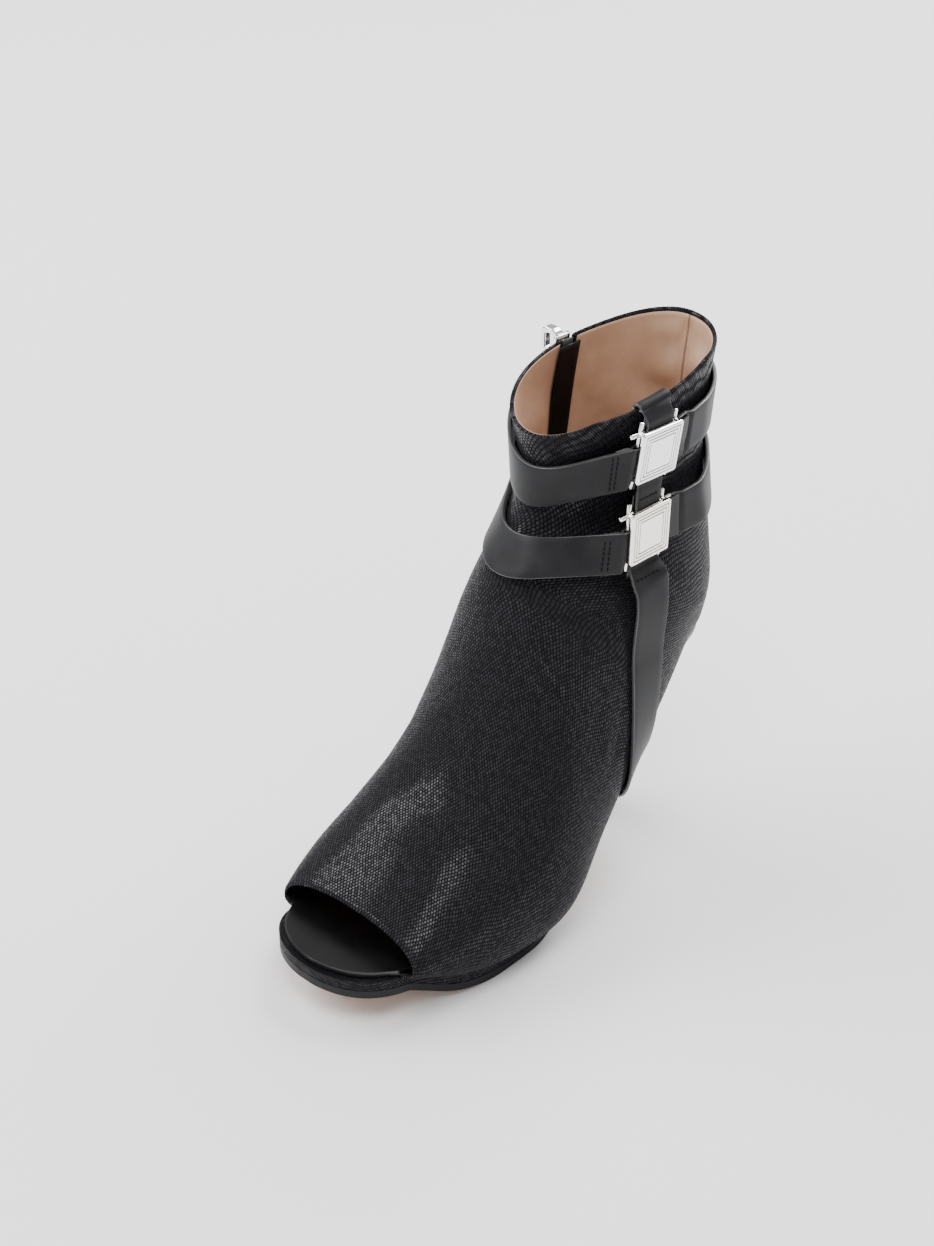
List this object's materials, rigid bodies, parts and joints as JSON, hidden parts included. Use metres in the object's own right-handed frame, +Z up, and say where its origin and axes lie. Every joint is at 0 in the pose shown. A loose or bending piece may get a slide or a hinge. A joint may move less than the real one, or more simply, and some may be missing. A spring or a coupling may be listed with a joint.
{
  "type": "peep toe ankle boot",
  "caption": "High-heeled ankle boot with an open toe, straps around the shaft joined by square buckle plates, a strap down the side and an inside zip.",
  "frame": {"origin": "on the floor, under the ball of the foot, in the middle of the sole's flat tread", "axes": "+Z up, toe towards -Y, heel towards +Y, lateral side of the left foot +X, medial side with the zip -X"},
  "size_m": [0.0959, 0.2172, 0.2151],
  "materials": {
    "embossed_leather": "black calf embossed with small oval scales, satin with fine glints",
    "sole_leather": "tan sole leather, edge stained black",
    "footbed_leather": "smooth black leather, satin",
    "heel_cover": "black embossed leather over a moulded heel",
    "tip_rubber": "black, matt",
    "strap_leather": "smooth black leather, semi-matt with dark edges",
    "guard_leather": "thin black leather",
    "lining_leather": "nude leather, soft matt",
    "plate_metal": "polished pale metal with fine square grooves",
    "zip_metal": "polished nickel",
    "zip_cloth": "black woven tape with dark metal teeth"
  },
  "bodies": {
    "root": {"upper": "embossed_leather", "outsole": "sole_leather", "platform": "embossed_leather", "footbed": "footbed_leather", "heel": "heel_cover", "heel_tip": "tip_rubber", "strap_upper_front": "strap_leather", "strap_upper_back": "strap_leather", "strap_lower_front": "strap_leather", "strap_lower_back": "strap_leather", "strap_top": "strap_leather", "strap_mid": "strap_leather", "strap_down": "strap_leather", "plate_upper": "plate_metal", "plate_lower": "plate_metal", "zip_tape": "zip_cloth", "zip_guard": "guard_leather", "zip_slider": "zip_metal"},
    "pull": {"zip_pull": "zip_metal"}
  },
  "joints": [
    {"name": "pull_swing", "type": "hinge", "parent": "root", "child": "pull", "pos_m": [-0.03471, 0.10254, 0.19986], "axis": [0, 1, 0], "range_deg": [0, 120]}
  ]
}
